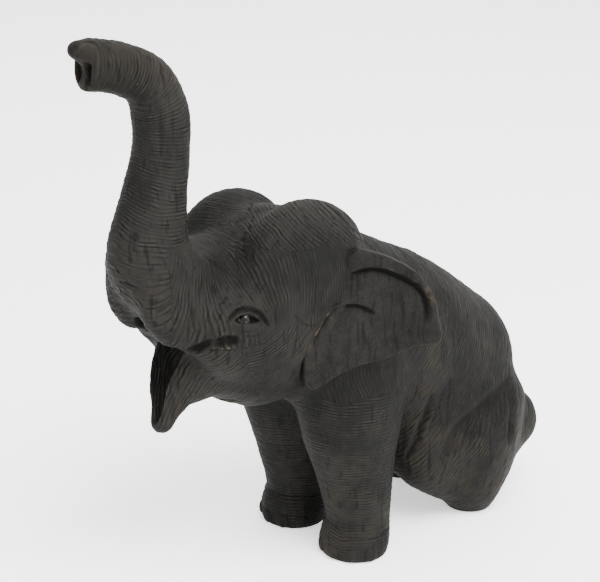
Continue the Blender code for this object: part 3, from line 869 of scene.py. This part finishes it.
def makeNails(tree, name, form, side, seed, finish):
    piece = bpy.data.objects.new(name, bpy.data.meshes.new(name))
    bpy.context.scene.collection.objects.link(piece)
    modifier = piece.modifiers.new("toenails", "NODES")
    modifier.node_group = tree
    centre = Vector(mirrored(form["centre"], side)) * 0.001 + clayToFrame
    given = {
        "Count": nailForm["count"], "Width": form["width"] * 0.001, "Depth": form["depth"] * 0.001,
        "Sweep": nailForm["sweep"], "Heading": form["heading"] * side, "Nail": nailForm["nail"],
        "Centre": centre, "Seed": seed, "Finish": finish,
    }
    for item in tree.interface.items_tree:
        if item.item_type == "SOCKET" and item.in_out == "INPUT":
            value = given[item.name]
            modifier[item.identifier] = value[:] if isinstance(value, Vector) else value
    settle(piece)
    piece.data.shade_smooth()
    return piece


woodColours = {
    # the darkest colour: painted shade in grooves and hollows, and also the dark wood pores and the eyeballs
    "hollow": (0.0028, 0.0026, 0.0024),
    "dark": (0.0058, 0.0057, 0.0053),
    "grey": (0.0118, 0.0115, 0.0108),
    # painted highlight on the groove ridges of the carved wood, and also the pale grain flecks of the smooth
    # wood
    "paleGrainAndRidgeHighlight": (0.024, 0.0232, 0.0214),
    "brown": (0.0165, 0.0135, 0.0100),
    "worn": (0.14, 0.098, 0.055),
    "dowel": (0.42, 0.27, 0.14),
    "dowelDark": (0.30, 0.18, 0.09),
}


def startFinish(name):
    material = bpy.data.materials.new(name)
    material.use_nodes = True
    bench = NodeBench(material.node_tree)
    shader = material.node_tree.nodes["Principled BSDF"]
    return material, bench, shader


def mixColour(bench, share, first, second, way="MIX"):
    entry = lambda value: value if isinstance(value, Wire) else (*value, 1)
    return bench.make(
        "ShaderNodeMix", {"data_type": "RGBA", "blend_type": way, "clamp_factor": True},
        {0: share, 6: entry(first), 7: entry(second)}, out=2,
    )


def speckle(bench, place, stretch, scale, detail=3.0, roughness=0.55):
    spread = bench.make("ShaderNodeMapping", None, {"Vector": place, "Scale": stretch})
    return bench.make(
        "ShaderNodeTexNoise", None,
        {"Vector": spread, "Scale": scale, "Detail": detail, "Roughness": roughness},
    )


def limits(bench, value, low, high):
    return bench.make(
        "ShaderNodeMapRange", {"interpolation_type": "SMOOTHSTEP"},
        {0: value, 1: low, 2: high, 3: 0.0, 4: 1.0},
    )


def carvedWood():
    material, bench, shader = startFinish("carvedWood")
    place = bench.make("ShaderNodeTexCoord", None, None, "Object")
    groove, cut, swell, eye = (
        bench.make("ShaderNodeAttribute", {"attribute_name": name}, None, "Fac")
        for name in ("groove", "cut", "swell", "eye")
    )
    wave = bench.maths("ABSOLUTE", bench.maths("FRACT", groove + 0.5) - 0.5) * 2.0
    ridge = limits(bench, wave, 0.0, 0.75)
    grain = speckle(bench, place, (1, 1, 0.16), 900.0, 2.0)
    fibre = speckle(bench, place, (1, 1, 0.10), 330.0, 3.0)
    patches = speckle(bench, place, (1, 1, 0.6), 26.0, 4.0, 0.6)
    mottle = speckle(bench, place, (1, 1, 1), 130.0, 3.0)
    high = bench.make("ShaderNodeSeparateXYZ", None, {0: place}, 2)
    base = mixColour(bench, limits(bench, patches, 0.38, 0.66), woodColours["dark"], woodColours["grey"])
    brownHere = (
        limits(bench, mottle * 0.5 + patches * 0.6, 0.48, 0.70)
        * (0.35 + limits(bench, high * -1, -0.16, -0.09) * 0.35)
    )
    brownHere = brownHere + limits(bench, high, 0.255, 0.29) * 0.35
    base = mixColour(bench, brownHere, base, woodColours["brown"])
    strokes = cut * (limits(bench, mottle, 0.38, 0.60) * 0.6 + 0.4)
    # painted highlight: the ridges between the grooves are mixed towards the pale colour, in patches that
    # follow the fibre noise
    base = mixColour(
        bench, ridge * strokes * limits(bench, fibre, 0.35, 0.62) * 0.55, base, woodColours["paleGrainAndRidgeHighlight"],
    )
    # painted shade: the bottoms of the grooves are darkened towards the hollow colour
    base = mixColour(bench, (1 - ridge) * strokes * 0.9, base, woodColours["hollow"])
    # painted shade: hollows of the surface, where swell is below 0, are darkened
    base = mixColour(bench, limits(bench, swell * -1, 0.02, 0.24), base, woodColours["hollow"])
    base = mixColour(bench, limits(bench, fibre, 0.54, 0.68) * 0.6, base, woodColours["hollow"])
    base = mixColour(bench, eye, base, woodColours["hollow"])
    lifted = limits(bench, swell + ridge * cut * 0.05, 0.10, 0.34)
    wornHere = (
        lifted * limits(bench, mottle, 0.56, 0.70) * 0.30
        + limits(bench, grain, 0.70, 0.78) * ridge * limits(bench, mottle, 0.5, 0.62) * 0.30
    )
    base = mixColour(bench, wornHere, base, woodColours["worn"])
    height = ridge * strokes * 0.55 + fibre * 0.40 + grain * 0.30 + mottle * 0.25
    bump = bench.make(
        "ShaderNodeBump", None, {"Strength": 1.0, "Distance": 0.0007, "Height": height * (1 - eye)},
    )
    tree = material.node_tree
    tree.links.new(base.socket, shader.inputs["Base Color"])
    tree.links.new(
        ((0.60 + fibre * 0.16 - ridge * 0.05) * (1 - eye * 0.5)).socket, shader.inputs["Roughness"],
    )
    tree.links.new((eye * 0.3).socket, shader.inputs["Coat Weight"])
    shader.inputs["Coat Roughness"].default_value = 0.1
    tree.links.new(bump.socket, shader.inputs["Normal"])
    shader.inputs["Specular IOR Level"].default_value = 0.04
    return material


def smoothWood():
    material, bench, shader = startFinish("smoothWood")
    place = bench.make("ShaderNodeTexCoord", None, None, "Object")
    swell = bench.make("ShaderNodeAttribute", {"attribute_name": "swell"}, None, "Fac")
    fibre = speckle(bench, place, (1, 1, 0.12), 420.0, 3.0)
    grain = speckle(bench, place, (1, 1, 0.7), 1500.0, 2.0)
    patches = speckle(bench, place, (1, 1, 0.8), 30.0, 4.0, 0.6)
    mottle = speckle(bench, place, (1, 1, 1), 160.0, 3.0)
    base = mixColour(bench, limits(bench, patches, 0.36, 0.66), woodColours["dark"], woodColours["grey"])
    base = mixColour(bench, limits(bench, mottle, 0.5, 0.68) * 0.3, base, woodColours["brown"])
    base = mixColour(bench, limits(bench, grain, 0.50, 0.70) * 0.3, base, woodColours["paleGrainAndRidgeHighlight"])
    # painted shade: hollows of the surface, where swell is below 0, are darkened
    base = mixColour(bench, limits(bench, swell * -1, 0.02, 0.24), base, woodColours["hollow"])
    base = mixColour(bench, limits(bench, fibre, 0.52, 0.66) * 0.6, base, woodColours["hollow"])
    base = mixColour(
        bench, limits(bench, swell, 0.16, 0.42) * limits(bench, mottle, 0.42, 0.64) * 0.28, base,
        woodColours["worn"],
    )
    bump = bench.make(
        "ShaderNodeBump", None,
        {"Strength": 0.9, "Distance": 0.0005, "Height": fibre * 0.4 + mottle * 0.5 + grain * 0.3},
    )
    tree = material.node_tree
    tree.links.new(base.socket, shader.inputs["Base Color"])
    tree.links.new((0.56 + fibre * 0.16).socket, shader.inputs["Roughness"])
    tree.links.new(bump.socket, shader.inputs["Normal"])
    shader.inputs["Specular IOR Level"].default_value = 0.04
    return material


def dowelWood():
    material, bench, shader = startFinish("dowelWood")
    place = bench.make("ShaderNodeTexCoord", None, None, "Object")
    fibre = speckle(bench, place, (1, 1, 0.1), 500.0, 3.0)
    base = mixColour(bench, limits(bench, fibre, 0.35, 0.7), woodColours["dowel"], woodColours["dowelDark"])
    bump = bench.make("ShaderNodeBump", None, {"Strength": 0.5, "Distance": 0.0002, "Height": fibre})
    material.node_tree.links.new(base.socket, shader.inputs["Base Color"])
    material.node_tree.links.new(bump.socket, shader.inputs["Normal"])
    shader.inputs["Roughness"].default_value = 0.7
    return material


def swellOf(points, low, voxel, dense):
    # how far the surface stands proud (above 0) or lies in a hollow (below 0) of what is 2 to 3 mm round it
    index = np.floor((points - low) / voxel).astype(int)
    top = np.array(dense.shape) - 1
    take = lambda shift: dense[tuple(np.clip(index + shift, 0, top).T)]
    middle = take(0)
    total = np.zeros(len(points))
    for reach, weight in ((2, 0.4), (4, 0.35), (7, 0.35)):
        around = sum(take(np.eye(3, dtype=int)[k] * reach * sign) for k in range(3) for sign in (1, -1))
        total += weight * (around / 6 - middle) / (reach * voxel)
    return total


def attach(piece, name, values):
    piece.data.attributes.new(name, "FLOAT", "POINT").data.foreach_set(
        "value", np.asarray(values, np.float32),
    )


def attachPlain(piece):
    # a smooth piece that wears the grooved wood carries every value as nought
    for name in ("groove", "cut", "swell", "eye"):
        attach(piece, name, np.zeros(len(piece.data.vertices)))


def clayPoints(piece):
    flat = np.empty(len(piece.data.vertices) * 3, np.float32)
    piece.data.vertices.foreach_get("co", flat)
    return (flat.reshape(-1, 3) - np.array(clayToFrame, np.float32)) * 1000


stageForm = {
    "azimuth": 50,
    "elevation": 20,
    "distance": 0.900,
    "lens": 99.36,
    "target": (-25.4, 0, 134),
    "floorSize": 14,
    "floorGlow": 0.8,
    "worldStrength": 2.3,
    "lamps": {  # azimuth, elevation, distance, watts, size
        "key": (82, 58, 1.5, 58, 0.9),
        "fill": (105, 25, 1.6, 10, 1.2),
        "back": (220, 50, 1.6, 12, 1.0),
    },
}


def makePieces():
    low, high = carving["low"], carving["high"]
    voxel = carving["voxel"]
    rows, eyeballs = detailRows()
    print("details placed")
    points, quads, dense = skinOf(low, high, voxel, lambda q: figureField(q, rows))
    print("skinned with", len(quads), "faces")
    figure = meshPiece("figure", cutGrooves(points, quads), quads)
    pieces = sawFigure(figure)
    for piece in pieces.values():
        thinOut(piece)
    print("grooved and sawn into", len(pieces), "blocks")
    carved, smooth = carvedWood(), smoothWood()
    for name, piece in pieces.items():
        places = clayPoints(piece)
        phase, strength = grooveFlow(places, roughFigure(places))
        attach(piece, "groove", phase)
        attach(piece, "cut", strength)
        attach(piece, "swell", swellOf(places, np.array(low), voxel, dense))
        fromEye = np.min([np.linalg.norm(places - ball, axis=1) for ball in eyeballs], axis=0)
        attach(piece, "eye", ramp(eyeForm["ballRadius"] + 0.45 - fromEye, 0, 0.3))
        piece.data.materials.clear()
        piece.data.materials.append(carved)
    for word, side in (("left", 1), ("right", -1)):
        ear = makeEar(f"ear_{word}", side)
        ear.data.materials.append(smooth)
        pieces[f"ear_{word}"] = ear
    tailPoints, tailQuads, _ = skinOf(tailForm["low"], tailForm["high"], tailForm["voxel"], tailField)
    tail = meshPiece("tail", tailPoints, tailQuads)
    attachPlain(tail)
    tail.data.materials.append(carved)
    pieces["tail"] = tail
    for piece in pieces.values():
        piece.data.shade_smooth()
        piece.data.set_sharp_from_angle(angle=math.radians(60))
    print("ears and tail made")
    return pieces, carved


def setStage():
    bpy.ops.mesh.primitive_plane_add(size=stageForm["floorSize"], location=(0, 0, -0.0002))
    floor = bpy.context.object
    floor.name = "floor"
    material = bpy.data.materials.new("paleFloor")
    material.use_nodes = True
    sockets = material.node_tree.nodes["Principled BSDF"].inputs
    sockets["Base Color"].default_value = (0.96, 0.96, 0.96, 1)
    sockets["Roughness"].default_value = 0.9
    sockets["Emission Color"].default_value = (1, 1, 1, 1)
    sockets["Emission Strength"].default_value = stageForm["floorGlow"]
    floor.data.materials.append(material)
    world = bpy.data.worlds.new("studio")
    bpy.context.scene.world = world
    world.use_nodes = True
    world.node_tree.nodes["Background"].inputs["Color"].default_value = (1, 1, 1, 1)
    world.node_tree.nodes["Background"].inputs["Strength"].default_value = stageForm["worldStrength"]
    target = Vector(stageForm["target"]) * 0.001 + clayToFrame
    for name, (azimuth, elevation, away, power, size) in stageForm["lamps"].items():
        data = bpy.data.lights.new(name, "AREA")
        data.energy = power
        data.size = size
        lamp = bpy.data.objects.new(name, data)
        bpy.context.scene.collection.objects.link(lamp)
        aimAt(lamp, target, azimuth, elevation, away)
    data = bpy.data.cameras.new("camera")
    data.lens = stageForm["lens"]
    data.sensor_width = 36
    camera = bpy.data.objects.new("camera", data)
    bpy.context.scene.collection.objects.link(camera)
    aimAt(camera, target, stageForm["azimuth"], stageForm["elevation"], stageForm["distance"])
    bpy.context.scene.camera = camera


def aimAt(thing, target, azimuth, elevation, away):
    turn, rise = math.radians(azimuth), math.radians(elevation)
    back = Vector((math.sin(turn) * math.cos(rise), -math.cos(turn) * math.cos(rise), math.sin(rise)))
    thing.location = target + back * away
    thing.rotation_euler = back.to_track_quat("Z", "Y").to_euler()


setStage()
pieces, carved = makePieces()
tree = nailTree()
seed = 1
for word, side in (("left", 1), ("right", -1)):
    nails = makeNails(tree, f"toenails_foreleg_{word}", nailForm["foot"], side, seed, carved)
    attachPlain(nails)
    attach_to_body(nails, "root")
    seed += 1
print("toenails made")
for name, piece in pieces.items():
    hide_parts(name)
    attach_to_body(piece, "root")
dowel = dowelWood()
for name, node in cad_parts.items():
    if "dowel" in name:
        for place in node.material_slots:
            place.material = dowel
print(
    "pieces", len(pieces), "triangles",
    sum(len(p.data.loop_triangles) or len(p.data.polygons) for p in pieces.values()),
)
